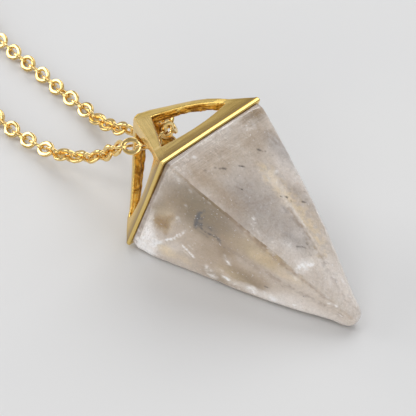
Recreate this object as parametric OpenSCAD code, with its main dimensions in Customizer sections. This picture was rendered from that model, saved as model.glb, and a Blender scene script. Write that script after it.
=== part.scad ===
// Crystal point pendant on a fine cable chain, lying on its side.
// Millimetres. The pendant's long axis runs along Y, its point towards -Y,
// and everything rests on the plane z = 0.

/* [View] */
// which piece to draw

/* [Crystal] */
// half the width of the crystal at its widest
girdle_half = 8.15; // [6:0.1:12]
// length from the widest section to where the four edges would meet
point_length = 26.7; // [18:0.5:40]
// how far the four sides bow outwards, as a share of the half width
side_bulge = 0.042; // [0:0.002:0.06]
// height of the nearly straight belt between the widest section and the rim
shoulder_height = 0.9; // [0.8:0.05:2.5]
// half width of the crystal where it sits in the cap
seat_half = 7.5; // [5:0.1:11]
// corner rounding along the four edges
edge_round = 0.6; // [0.1:0.05:1]

/* [Cap] */
// half the width of the square rim
rim_half = 8.25; // [6:0.1:12]
// height of the narrow upright band at the rim
rim_band = 0.45; // [0.2:0.05:1]
// height of the cap from the rim to the apex
cap_height = 10.2; // [6:0.1:14]
// metal thickness
wall = 0.9; // [0.8:0.05:2]
// width of the blunted apex
apex_half = 0.3; // [0.1:0.05:0.8]
// distance from the apex down to the top corner of a window, along the slope
window_top = 3.2; // [2:0.1:5]
// distance from the apex down to the sill of a window, along the slope
window_sill = 10.4; // [6:0.1:11]
// how far the sill sags in the middle
window_sag = 1; // [0:0.1:1.5]
// half width of a window at its sill
window_half = 5.7; // [3:0.1:6]
// gap left between neighbouring pieces
gap = 0.1; // [0.05:0.01:0.3]

/* [Chain] */
// outer diameter of the chain
chain_diameter = 1.7; // [1.2:0.02:3]
// sides of the chain's round section
chain_sides = 8; // [6:1:12]

/* [Clasp] */
// length of the clasp
clasp_length = 11; // [8:0.5:16]
// width of the clasp
clasp_width = 4.6; // [3:0.1:7]
// thickness of the clasp
clasp_thickness = 1.8; // [1.2:0.1:3]

/* [Hidden] */

// ---- the crystal: square sections [height above the virtual point, half width, corner radius]
function side_w(a) = let (t = 1 - a / point_length)
    girdle_half * ((1 - t) + 4 * side_bulge * t * (1 - t));
// the rounded point: [height, half width]
tip_rows = [[1.72, 0.2], [1.78, 0.46], [1.92, 0.74], [2.17, 1.01], [2.56, 1.22], [3.12, 1.4],
    [3.97, 1.63], [5.5, 2.1], [9, 3.16], [13.5, 4.5]];
// how far the two standing sides bulge out: [height, on the right, on the left]
side_bow = [[4.4, 0, 0], [5.9, 0.06, 0.06], [9, 0.22, 0.24], [13.5, 0.37, 0.34], [18.5, 0.25, 0.05],
    [23.9, 0.17, 0.03], [26.7, 0, 0]];
function bow_at(z, k) = lookup(z, [for (q = side_bow) [q[0], q[k]]]);
// the crystal rests on the flat stretch of its lower side between these two sections
rest_lo = 18.5;
rest_hi = 23.9;
tilt = atan((side_w(rest_hi) - side_w(rest_lo)) / (rest_hi - rest_lo));
lift = side_w(rest_hi) * cos(tilt) - rest_hi * sin(tilt);
rim_z = point_length + shoulder_height + gap;
seat_top = rim_z + 0.8;
crystal_rows = concat(
    [for (q = tip_rows) [q[0], q[1], min(edge_round, q[1] * (q[0] < 2.2 ? 0.62 : 0.45))]],
    [for (a = [rest_lo, rest_hi]) [a, side_w(a), edge_round]],
    [[point_length - 0.35, side_w(point_length - 0.35) - 0.01, 0.5],
     [point_length + 0.1, girdle_half - 0.03, 0.65],
     [rim_z - 0.14, girdle_half - 0.1, 0.7],
     [rim_z - 0.11, seat_half, 0.8],
     [seat_top, seat_half, 0.8]]);
corner_steps = 4;
function square_ring(w, r) = [for (c = [0:3]) let (s = [[1, 1], [-1, 1], [-1, -1], [1, -1]][c])
    for (i = [0:corner_steps]) let (an = c * 90 + i * 90 / corner_steps)
        [s[0] * (w - r) + r * cos(an), s[1] * (w - r) + r * sin(an)]];
function loft_pts(rows) = [for (q = rows) each [for (p = square_ring(q[1], q[2]))
    [p[0] * (1 + bow_at(q[0], p[0] > 0 ? 1 : 2) / q[1]), p[1], q[0]]]];
function loft_faces(rings, m) = concat(
    [[for (i = [0:m - 1]) i]],
    [for (k = [0:rings - 2]) for (i = [0:m - 1]) each
        [[k * m + i, (k + 1) * m + i, (k + 1) * m + (i + 1) % m],
         [k * m + i, (k + 1) * m + (i + 1) % m, k * m + (i + 1) % m]]],
    [[for (i = [0:m - 1]) (rings - 1) * m + (m - 1 - i)]]);

// ---- the cap: square sections with the four corners set in or out one by one
apex_z = rim_z + cap_height;
cone_z = rim_z + rim_band;
function cap_w(z) = apex_half + (rim_half - apex_half) * (apex_z - 0.25 - z) / (apex_z - 0.25 - cone_z);
// outward set of the ridges, going down from the apex, in the corner order
// [+x +y], [-x +y], [-x -y], [+x -y]; the last ridge bows outwards
ridge_rows = [
    [0.25, [0, 0, 0, 0.15]],
    [0.9, [0, 0, 0, 0.66]],
    [2.0, [0, 0, 0, 0.86]],
    [3.2, [0, -0.04, 0, 1.02]],
    [4.3, [0, -0.08, 0, 1.16]],
    [5.4, [0, -0.1, 0, 1.14]],
    [6.4, [0, -0.12, 0, 0.9]],
    [7.3, [0, -0.1, 0, 0.56]],
    [7.7, [0.12, 0.16, 0.1, 0.5]],
    [8.7, [0.1, 0.14, 0.08, 0.3]]];
ridge_chamfer = 0.22;
function corner_pair(c, w, b, ch) =
    let (s = [[1, 1], [-1, 1], [-1, -1], [1, -1]][c], o = w + b * 0.7071)
    (c % 2 == 0)
        ? [[s[0] * o, s[1] * (o - ch)], [s[0] * (o - ch), s[1] * o]]
        : [[s[0] * (o - ch), s[1] * o], [s[0] * o, s[1] * (o - ch)]];
function cap_row(z, w, bows, ch) = [for (c = [0:3]) each
    [for (p = corner_pair(c, w, bows[c], ch)) [p[0], p[1], z]]];
cap_outer = concat(
    cap_row(rim_z, rim_half, [0, 0, 0, 0], ridge_chamfer),
    cap_row(cone_z, rim_half, [0, 0, 0, 0.1], ridge_chamfer),
    [for (i = [len(ridge_rows) - 1:-1:0]) each
        cap_row(apex_z - ridge_rows[i][0], cap_w(apex_z - ridge_rows[i][0]), ridge_rows[i][1],
            min(ridge_chamfer, cap_w(apex_z - ridge_rows[i][0]) * 0.6))],
    cap_row(apex_z, apex_half * 0.55, [0, 0, 0, 0], 0.1));
cap_rings = len(ridge_rows) + 3;
// the hollow inside the cap
slope = atan(rim_half / (cap_height - rim_band));
inset = wall / cos(slope);
hollow_bottom = seat_top + gap;
hollow_top = apex_z - wall / sin(slope) - 0.1;
function hollow_w(z) = max(0.08, cap_w(z) - inset);
cap_hollow = concat(
    cap_row(hollow_bottom - 0.2, hollow_w(hollow_bottom - 0.2), [0, 0, 0, 0], 0.3),
    [for (i = [len(ridge_rows) - 1:-1:0]) if (ridge_rows[i][0] > apex_z - hollow_top + 0.2 && apex_z - ridge_rows[i][0] > hollow_bottom) each
        cap_row(apex_z - ridge_rows[i][0], hollow_w(apex_z - ridge_rows[i][0]), ridge_rows[i][1],
            min(0.3, hollow_w(apex_z - ridge_rows[i][0]) * 0.6))],
    cap_row(hollow_top, 0.25, [0, 0, 0, 0.3], 0.12));
hollow_rings = len(cap_hollow) / 8;

// ---- one window: a triangle with rounded corners and a sagging sill; a side may bow with its ridge
function side_bow(d) = lookup(d * cos(slope), [for (q = ridge_rows) [q[0], q[1][3]]]);
// a point of the window's side, d down the slope from the apex
function side_x(d, top, bowed) = (d - top) * window_half / (window_sill - window_top)
    + (bowed ? side_bow(d) * 0.62 : 0);
win_steps = 7;
function window_side(top, bowed, reach) = concat(
    [[side_x(top + 0.2, top, bowed), -top - 0.12]],
    [for (i = [0:win_steps]) let (d = top + 0.35 + (window_sill - 0.6 - top - 0.35) * i / win_steps)
        [min(reach, side_x(d, top, bowed)), -d]],
    [[reach + 0.1, -window_sill + 0.28], [reach + 0.02, -window_sill - 0.02], [reach - 0.35, -window_sill - 0.2],
     [reach * 0.68, -window_sill - window_sag * 0.6], [reach * 0.36, -window_sill - window_sag * 0.9]]);
function mirrored(l) = [for (i = [len(l) - 1:-1:0]) [-l[i][0], l[i][1]]];
module window(top, bow_right, bow_left, reach) {
    translate([0, 0, apex_z])
        rotate([90 - slope, 0, 0])
            translate([0, 0, -2.4])
                linear_extrude(height = 5.4)
                    polygon(concat(window_side(top, bow_right, reach), mirrored(window_side(top, bow_left, reach))));
}

// ---- the chain's route, from one side of the clasp round to the other
route = [
    [36.6, 229.6, 0.85], [42, 227.4, 0.85], [49.5, 222, 0.85], [56, 213, 0.85], [60.4, 201, 0.85],
    [62, 187, 0.85], [61, 172, 0.85], [57.4, 157, 0.85], [52, 142.5, 0.85], [45, 129, 0.85],
    [37, 116, 0.85], [29, 103.6, 0.85], [21.4, 91.4, 0.85], [13.5, 80, 0.85], [9.4, 70.6, 0.85],
    [7.9, 63, 0.85], [6.7, 56, 0.9], [5.8, 50.6, 1.3], [5, 46.8, 1.9],
    [4.7, 43.4, 2.9], [4.6, 40.6, 4.1], [4.6, 38.4, 5.6], [4.6, 36.6, 7.3], [4.4, 34.85, 8.75],
    [3.7, 33.4, 9.5], [2.35, 32.65, 9.85], [0.8, 32.6, 9.9], [-0.8, 32.7, 9.9],
    [-2.4, 32.8, 9.8], [-3.6, 33.6, 9.5], [-3.9, 35.2, 8.6], [-3.6, 36.8, 7.2], [-3.3, 38.6, 5.7],
    [-3.1, 40.7, 4.3], [-3.2, 43.4, 3], [-3.5, 46.6, 1.9], [-3.5, 50, 1.2],
    [-3.1, 54.4, 0.9], [-2.5, 58.4, 0.85], [-1.6, 64, 0.85], [-0.9, 72, 0.85], [-1.6, 83.5, 0.85],
    [-4.6, 96, 0.85], [-8.8, 109.6, 0.85], [-13.6, 124, 0.85], [-17.8, 139, 0.85], [-20.4, 154, 0.85],
    [-21, 169, 0.85], [-19, 184, 0.85], [-14, 198, 0.85], [-6.4, 210.4, 0.85], [3, 220.4, 0.85],
    [13, 227, 0.85], [19, 229.4, 0.85], [24.2, 230.8, 0.85]];
n_route = len(route);
function pt(i) = route[max(0, min(n_route - 1, i))];
function spline(i, t) = let (a = pt(i - 1), b = pt(i), c = pt(i + 1), d = pt(i + 2))
    0.5 * ((2 * b) + (c - a) * t + (2 * a - 5 * b + 4 * c - d) * t * t + (3 * b - a - 3 * c + d) * t * t * t);
// an extra ring half way along the long or bent stretches
function halves(i) = i < 13 || i > 40;
path = concat([for (i = [0:n_route - 2]) each halves(i) ? [spline(i, 0), spline(i, 0.5)] : [spline(i, 0)]],
    [route[n_route - 1]]);
n_path = len(path);
function unit(v) = v / norm(v);
function heading(i) = unit(path[min(n_path - 1, i + 1)] - path[max(0, i - 1)]);
function ring_at(i) = let (t = heading(i), s = unit(cross(t, [0, 0, 1])), u = cross(s, t))
    [for (k = [0:chain_sides - 1]) let (an = (k + 0.5) * 360 / chain_sides)
        path[i] + chain_diameter / 2 / cos(180 / chain_sides) * (cos(an) * s + sin(an) * u)];
tube_pts = [for (i = [0:n_path - 1]) each ring_at(i)];

// ---- the middle of the whole footprint
all_x = [for (p = tube_pts) p[0]];
all_y = [for (p = tube_pts) p[1]];
back_y = 230.2 + clasp_width / 2;
tip_y = min([for (q = crystal_rows) q[0] * cos(tilt) - q[1] * sin(tilt)]);
mid = [(min(all_x) + max(all_x)) / 2, (tip_y + max(max(all_y), back_y)) / 2, 0];

module lying() {
    translate([0, 0, lift]) rotate([tilt - 90, 0, 0]) children();
}

module crystal() {
    color([0.9, 0.88, 0.88]) translate(-mid) lying()
        polyhedron(points = loft_pts(crystal_rows),
            faces = loft_faces(len(crystal_rows), 4 * (corner_steps + 1)), convexity = 4);
}

module cap() {
    color([0.85, 0.7, 0.35]) translate(-mid) lying() difference() {
        polyhedron(points = cap_outer, faces = loft_faces(cap_rings, 8), convexity = 4);
        polyhedron(points = cap_hollow, faces = loft_faces(hollow_rings, 8), convexity = 4);
        // the pocket that holds the crystal
        translate([-seat_half - gap, -seat_half - gap, rim_z - 1])
            cube([2 * (seat_half + gap), 2 * (seat_half + gap), seat_top + gap - rim_z + 1]);
        window(window_top + 0.05, true, false, window_half);
        rotate([0, 0, -90]) window(window_top - 0.8, false, false, window_half + 0.1);
        rotate([0, 0, 180]) window(window_top - 0.3, false, false, window_half);
        rotate([0, 0, 90]) window(window_top - 0.3, false, true, window_half);
    }
}

module chain() {
    color([0.85, 0.7, 0.35]) translate(-mid)
        polyhedron(points = tube_pts, faces = loft_faces(n_path, chain_sides), convexity = 6);
}

module clasp() {
    color([0.85, 0.7, 0.35]) translate(-mid) translate([30.4, 230.2, 0]) rotate([0, 0, -5.5])
        difference() {
            linear_extrude(height = clasp_thickness)
                union() {
                    translate([-(clasp_length - clasp_width) / 2, 0]) circle(d = clasp_width, $fn = 48);
                    translate([(clasp_length - clasp_width) / 2, 0]) circle(d = clasp_width * 0.86, $fn = 48);
                    polygon([[-(clasp_length - clasp_width) / 2, -clasp_width / 2],
                        [(clasp_length - clasp_width) / 2, -clasp_width * 0.43],
                        [(clasp_length - clasp_width) / 2, clasp_width * 0.43],
                        [-(clasp_length - clasp_width) / 2, clasp_width / 2]]);
                }
            translate([0, 0, -1]) linear_extrude(height = clasp_thickness + 2)
                union() {
                    translate([-(clasp_length - clasp_width) / 2, 0]) circle(d = clasp_width - 2.6, $fn = 36);
                    translate([1.6, 0]) circle(d = clasp_width - 3, $fn = 36);
                    polygon([[-(clasp_length - clasp_width) / 2, -clasp_width / 2 + 1.3],
                        [1.6, -clasp_width / 2 + 1.5],
                        [1.6, clasp_width / 2 - 1.5],
                        [-(clasp_length - clasp_width) / 2, clasp_width / 2 - 1.3]]);
                }
        }
}

crystal();
cap();
chain();
clasp();
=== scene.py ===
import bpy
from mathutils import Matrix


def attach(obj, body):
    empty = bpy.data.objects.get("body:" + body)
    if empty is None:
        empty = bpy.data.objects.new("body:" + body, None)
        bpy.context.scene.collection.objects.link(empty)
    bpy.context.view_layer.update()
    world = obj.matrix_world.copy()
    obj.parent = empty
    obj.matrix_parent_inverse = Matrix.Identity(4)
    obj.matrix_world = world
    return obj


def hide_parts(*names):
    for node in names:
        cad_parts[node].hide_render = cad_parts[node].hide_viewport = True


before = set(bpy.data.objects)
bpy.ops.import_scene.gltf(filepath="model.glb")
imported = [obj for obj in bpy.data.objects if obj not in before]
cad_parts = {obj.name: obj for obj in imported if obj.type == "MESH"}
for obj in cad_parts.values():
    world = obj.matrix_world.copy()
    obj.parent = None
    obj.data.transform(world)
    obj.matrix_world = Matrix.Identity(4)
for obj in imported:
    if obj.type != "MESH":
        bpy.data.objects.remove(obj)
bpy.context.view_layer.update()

import math

import bpy
import numpy as np
from mathutils import Matrix, Vector

# ------------------------------------------------------------------ the pendant's own frame
# Lengths here are millimetres. Local coordinates are (x, v, a): x across, v across and up,
# a along the axis from the virtual point of the crystal. row() puts them in the row frame.
GIRDLE, LENGTH, BULGE = 8.15, 26.7, 0.042
SHOULDER, SEAT, GAP = 0.9, 7.5, 0.1
RIM_HALF, RIM_BAND, CAP_H, WALL, APEX_HALF = 8.25, 0.40, 10.2, 0.9, 0.3
WIN_TOP, WIN_SILL, WIN_SAG, WIN_HALF = 3.2, 10.4, 1.0, 5.7
MID = np.array([20.5003, 117.0474, 0.0])


def side_w(a):
    t = 1 - a / LENGTH
    return GIRDLE * ((1 - t) + 4 * BULGE * t * (1 - t))


TILT = math.atan((side_w(23.9) - side_w(18.5)) / (23.9 - 18.5))
LIFT = side_w(23.9) * math.cos(TILT) - 23.9 * math.sin(TILT)
RIM_Z = LENGTH + SHOULDER + GAP
SEAT_TOP = RIM_Z + 0.8
APEX_Z = RIM_Z + CAP_H
CONE_Z = RIM_Z + RIM_BAND


def row(p):
    """Local (x, v, a) in mm to the row frame in metres."""
    p = np.asarray(p, float)
    ct, st = math.cos(TILT), math.sin(TILT)
    out = np.stack([p[..., 0], p[..., 2] * ct - p[..., 1] * st,
                    LIFT + p[..., 2] * st + p[..., 1] * ct], -1)
    return (out - MID) * 0.001


def flat(p):
    """Pendant frame in mm to the row frame in metres."""
    return (np.asarray(p, float) - MID) * 0.001


def settle(p):
    """The corner the photograph shows a little lower than a true square would have it."""
    p = np.array(p, float)
    p[:, 1] -= 0.2 * np.clip(p[:, 0] / 8.2, 0, 1.1) * np.clip(p[:, 1] / 8.2, 0, 1.1)
    # the top of the stone follows the cap, which sits a little askew
    p[:, 2] -= 0.043 * p[:, 1] * smooth(27.02, 27.6, p[:, 2])
    return p


def askew(p):
    """The cap sits on the stone a little askew, as the photograph shows; its point stays where it is."""
    p = np.array(p, float)
    low = 1 - smooth(29.0, 35.0, p[:, 2])
    up_side = np.clip(p[:, 1] / 8.25, 0, 1.1)
    p[:, 2] -= 0.043 * p[:, 1] * low
    p[:, 0] -= 0.36 * np.clip(-p[:, 0] / 8.25, 0, 1.1) * up_side * low
    p[:, 1] -= 0.10 * np.clip(p[:, 0] / 8.25, 0, 1.1) * up_side * low
    return p


# ------------------------------------------------------------------ small helpers
def smooth(e0, e1, x):
    t = np.clip((x - e0) / (e1 - e0), 0, 1)
    return t * t * (3 - 2 * t)


def lattice(ix, iy, iz, seed):
    h = (ix.astype(np.int64) * 374761393 + iy.astype(np.int64) * 668265263
         + iz.astype(np.int64) * 2147483647 + seed * 1274126177) & 0xFFFFFFFF
    h = ((h ^ (h >> 13)) * 1274126177) & 0xFFFFFFFF
    return ((h ^ (h >> 16)) & 0xFFFF) / 65535.0


def vnoise(p, scale=1.0, seed=0):
    """Smooth value noise in 0..1."""
    q = np.asarray(p, float) * scale
    i = np.floor(q)
    f = q - i
    f = f * f * f * (f * (f * 6 - 15) + 10)
    i = i.astype(np.int64)
    out = 0.0
    for dx in (0, 1):
        for dy in (0, 1):
            for dz in (0, 1):
                w = ((f[..., 0] if dx else 1 - f[..., 0]) * (f[..., 1] if dy else 1 - f[..., 1])
                     * (f[..., 2] if dz else 1 - f[..., 2]))
                out = out + w * lattice(i[..., 0] + dx, i[..., 1] + dy, i[..., 2] + dz, seed)
    return out


def fbm(p, scale=1.0, seed=0, octaves=4):
    out, amp, tot = 0.0, 1.0, 0.0
    for o in range(octaves):
        out = out + amp * vnoise(p, scale * 2 ** o, seed + 17 * o)
        tot += amp
        amp *= 0.5
    return out / tot


def make(name, verts, faces, smooth_shade=True):
    mesh = bpy.data.meshes.new(name)
    mesh.from_pydata([tuple(v) for v in np.asarray(verts, float).tolist()], [], faces)
    mesh.validate()
    if smooth_shade:
        mesh.polygons.foreach_set("use_smooth", [True] * len(mesh.polygons))
    mesh.update()
    obj = bpy.data.objects.new(name, mesh)
    bpy.context.scene.collection.objects.link(obj)
    return obj


def paint(obj, name, values):
    att = obj.data.attributes.new(name, "FLOAT", "POINT")
    att.data.foreach_set("value", np.asarray(values, np.float32).ravel())


def hermite(ctrl, n):
    """n points along a smooth curve through the control points, evenly spaced by length."""
    c = np.asarray(ctrl, float)
    s = np.concatenate([[0], np.cumsum(np.linalg.norm(np.diff(c, axis=0), axis=1))])
    m = np.zeros_like(c)
    d = np.diff(c, axis=0) / np.diff(s)[:, None]
    m[0], m[-1] = d[0], d[-1]
    h = np.diff(s)
    m[1:-1] = (d[:-1] * h[1:, None] + d[1:] * h[:-1, None]) / (h[:-1] + h[1:])[:, None]
    fine = []
    for i in range(len(c) - 1):
        k = 24
        t = np.linspace(0, 1, k, endpoint=False)[:, None]
        fine.append((2 * t**3 - 3 * t**2 + 1) * c[i] + (t**3 - 2 * t**2 + t) * h[i] * m[i]
                    + (-2 * t**3 + 3 * t**2) * c[i + 1] + (t**3 - t**2) * h[i] * m[i + 1])
    fine.append(c[-1:])
    f = np.concatenate(fine)
    l = np.concatenate([[0], np.cumsum(np.linalg.norm(np.diff(f, axis=0), axis=1))])
    want = np.linspace(0, l[-1], n)
    return np.stack([np.interp(want, l, f[:, k]) for k in range(c.shape[1])], -1), l[-1]


# ------------------------------------------------------------------ camera
AZ, EL, ROLL, FOCAL = -51.0601, 41.0147, 3.8962, 1697.94
a_, e_, r_ = (math.radians(v) for v in (AZ, EL, ROLL))
back = Vector((math.sin(a_) * math.cos(e_), -math.cos(a_) * math.cos(e_), math.sin(e_)))
right = (-back).cross(Vector((0, 0, 1))).normalized()
up = right.cross(-back)
cx = right * math.cos(r_) + up * math.sin(r_)
cy = -right * math.sin(r_) + up * math.cos(r_)
cam_data = bpy.data.cameras.new("camera")
cam = bpy.data.objects.new("camera", cam_data)
bpy.context.scene.collection.objects.link(cam)
cam_data.sensor_width = 36
cam_data.lens = 36 * FOCAL / 416
cam_data.clip_start, cam_data.clip_end = 0.01, 20
turn = Matrix((cx, cy, back)).transposed()
cam.matrix_world = Matrix.Translation(flat((-117.27, -70.42, 135.33))) @ turn.to_4x4()
bpy.context.scene.camera = cam


# ------------------------------------------------------------------ materials
class Nodes:
    def __init__(self, name):
        self.mat = bpy.data.materials.new(name)
        self.mat.use_nodes = True
        self.t = self.mat.node_tree
        self.bsdf = self.t.nodes["Principled BSDF"]
        self.out = self.t.nodes["Material Output"]

    def n(self, kind, **props):
        node = self.t.nodes.new(kind)
        for k, v in props.items():
            if k in node.inputs:
                node.inputs[k].default_value = v
            else:
                setattr(node, k, v)
        return node

    def link(self, a, b):
        self.t.links.new(a, b)

    def attr(self, name):
        node = self.n("ShaderNodeAttribute", attribute_name=name)
        return node.outputs["Fac"]

    def coord(self):
        return self.n("ShaderNodeTexCoord").outputs["Object"]

    def mapped(self, src, scale=(1, 1, 1), rot=(0, 0, 0), loc=(0, 0, 0)):
        m = self.n("ShaderNodeMapping")
        self.link(src, m.inputs["Vector"])
        m.inputs["Scale"].default_value = scale
        m.inputs["Rotation"].default_value = rot
        m.inputs["Location"].default_value = loc
        return m.outputs["Vector"]

    def noise(self, src, scale, detail=4.0, rough=0.55, dist=0.0):
        t = self.n("ShaderNodeTexNoise")
        self.link(src, t.inputs["Vector"])
        t.inputs["Scale"].default_value = scale
        t.inputs["Detail"].default_value = detail
        t.inputs["Roughness"].default_value = rough
        t.inputs["Distortion"].default_value = dist
        return t.outputs["Fac"]

    def ramp(self, fac, stops):
        r = self.n("ShaderNodeValToRGB")
        self.link(fac, r.inputs["Fac"])
        cr = r.color_ramp
        while len(cr.elements) > 1:
            cr.elements.remove(cr.elements[0])
        first = True
        for pos, col in stops:
            el = cr.elements[0] if first else cr.elements.new(pos)
            el.position = pos
            el.color = (*col, 1) if not isinstance(col, (int, float)) else (col, col, col, 1)
            first = False
        return r.outputs["Color"]

    def math(self, op, a, b=None, c=None, clamp=False):
        m = self.n("ShaderNodeMath", operation=op)
        m.use_clamp = clamp
        for i, v in enumerate((a, b, c)):
            if v is None:
                continue
            if isinstance(v, (int, float)):
                m.inputs[i].default_value = v
            else:
                self.link(v, m.inputs[i])
        return m.outputs[0]

    def mix(self, fac, a, b, kind="MIX"):
        m = self.n("ShaderNodeMix", data_type="RGBA", blend_type=kind)
        for sock, v in ((m.inputs[0], fac), (m.inputs[6], a), (m.inputs[7], b)):
            if isinstance(v, (int, float)):
                sock.default_value = v
            elif isinstance(v, tuple):
                sock.default_value = (*v, 1)
            else:
                self.link(v, sock)
        return m.outputs[2]

    def bump(self, height, strength, distance, normal=None):
        b = self.n("ShaderNodeBump")
        b.inputs["Strength"].default_value = strength
        b.inputs["Distance"].default_value = distance
        self.link(height, b.inputs["Height"])
        if normal is not None:
            self.link(normal, b.inputs["Normal"])
        return b.outputs["Normal"]


def set_in(bsdf, **values):
    names = {"ior": "IOR", "sss": "Subsurface Weight", "sss_radius": "Subsurface Radius",
             "sss_scale": "Subsurface Scale", "metallic": "Metallic", "rough": "Roughness",
             "trans": "Transmission Weight", "coat": "Coat Weight", "coat_rough": "Coat Roughness",
             "coat_ior": "Coat IOR", "spec": "Specular IOR Level", "aniso": "Anisotropic",
             "base": "Base Color"}
    for k, v in values.items():
        bsdf.inputs[names[k]].default_value = v


def local_coords(m):
    """Object coordinates turned into the pendant's local (x, v, a) axes, in millimetres."""
    src = m.coord()
    # the row frame point plus MID, less the lift, turned back by the tilt
    shifted = m.n("ShaderNodeVectorMath", operation="MULTIPLY_ADD")
    m.link(src, shifted.inputs[0])
    shifted.inputs[1].default_value = (1000, 1000, 1000)
    shifted.inputs[2].default_value = (MID[0], MID[1], MID[2] - LIFT)
    spun = m.n("ShaderNodeVectorRotate", rotation_type="X_AXIS")
    m.link(shifted.outputs[0], spun.inputs["Vector"])
    spun.inputs["Center"].default_value = (0, 0, 0)
    spun.inputs["Angle"].default_value = -TILT
    # now y is the axis and z is v
    return spun.outputs["Vector"]


def gold_cap():
    m = Nodes("gold_cap")
    loc = local_coords(m)
    inner = m.attr("inner")
    brushed = m.n("ShaderNodeCombineXYZ")
    m.link(m.attr("along"), brushed.inputs[0])
    m.link(m.attr("across"), brushed.inputs[1])
    brushed = brushed.outputs[0]
    lines = m.noise(m.mapped(brushed, (0.16, 7.0, 1.0)), 1.0, 3.0, 0.6)
    cloud = m.noise(loc, 0.55, 4.0, 0.6)
    grit = m.noise(loc, 4.2, 6.0, 0.7, 0.4)
    fine = m.noise(loc, 14.0, 3.0, 0.6)
    bands = m.noise(m.mapped(brushed, (0.08, 2.2, 1.0)), 1.0, 5.0, 0.7)
    outer_col = m.ramp(cloud, [(0.3, (0.86, 0.59, 0.16)), (0.7, (0.95, 0.69, 0.23))])
    outer_col = m.mix(1.0, outer_col, m.ramp(bands, [(0.34, (0.74, 0.70, 0.62)), (0.50, (1.0, 1.0, 1.0)), (0.66, (1.06, 1.06, 1.1))]), "MULTIPLY")
    # painted shade on the upper sill, standing in for a darker reflection
    outer_col = m.mix(m.attr("sill_painted_shade"), outer_col, m.mix(1.0, outer_col, (0.66, 0.62, 0.44), "MULTIPLY"))
    # painted shade: a dark band just above the rim, standing in for the darker reflection where the faces turn down to
    # it
    outer_col = m.mix(m.attr("rim_painted_shade"), outer_col, (0.30, 0.165, 0.02))
    blotch = m.noise(m.mapped(loc, (1.0, 0.6, 1.0)), 0.9, 5.0, 0.65, 0.6)
    inner_col = m.ramp(grit, [(0.25, (0.42, 0.15, 0.008)), (0.5, (0.86, 0.42, 0.045)), (0.72, (1.0, 0.70, 0.17))])
    run = m.n("ShaderNodeCombineXYZ")
    m.link(m.attr("along"), run.inputs[0])
    m.link(m.attr("depth"), run.inputs[1])
    m.link(m.attr("across"), run.inputs[2])
    streak = m.noise(m.mapped(run.outputs[0], (0.8, 3.6, 0.5)), 1.0, 4.0, 0.62, 0.7)
    inner_col = m.mix(m.ramp(streak, [(0.51, 0.0), (0.60, 0.95)]), inner_col, (1.0, 0.76, 0.22))
    inner_col = m.mix(m.ramp(streak, [(0.36, 0.95), (0.44, 0.0)]), inner_col, (0.10, 0.035, 0.004))
    inner_col = m.mix(m.ramp(blotch, [(0.40, 0.9), (0.54, 0.0)]), inner_col, (0.24, 0.09, 0.012))
    col = m.mix(inner, outer_col, inner_col)
    m.link(m.mix(m.attr("rim"), col, (0.84, 0.64, 0.24)), m.bsdf.inputs["Base Color"])
    r_out = m.math("MULTIPLY_ADD", lines, 0.12, 0.16)
    r_in = m.math("MULTIPLY_ADD", grit, 0.35, 0.16)
    rough = m.math("ADD", m.math("MULTIPLY", r_out, m.math("SUBTRACT", 1.0, inner)), m.math("MULTIPLY", r_in, inner))
    m.link(rough, m.bsdf.inputs["Roughness"])
    b1 = m.bump(lines, 0.4, 0.000014)
    b2 = m.bump(m.math("MULTIPLY", grit, inner), 0.8, 0.00012, b1)
    b3 = m.bump(fine, 0.08, 0.00001, b2)
    m.link(b3, m.bsdf.inputs["Normal"])
    set_in(m.bsdf, metallic=1.0)
    return m.mat


def gold_chain():
    m = Nodes("gold_chain")
    src = m.coord()
    cloud = m.noise(src, 900.0, 3.0, 0.6)
    fine = m.noise(src, 6000.0, 3.0, 0.6)
    col = m.ramp(cloud, [(0.3, (0.83, 0.555, 0.185)), (0.7, (0.93, 0.72, 0.33))])
    m.link(col, m.bsdf.inputs["Base Color"])
    m.link(m.math("MULTIPLY_ADD", fine, 0.12, 0.06), m.bsdf.inputs["Roughness"])
    m.link(m.bump(fine, 0.15, 0.00001), m.bsdf.inputs["Normal"])
    set_in(m.bsdf, metallic=1.0)
    return m.mat


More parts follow.
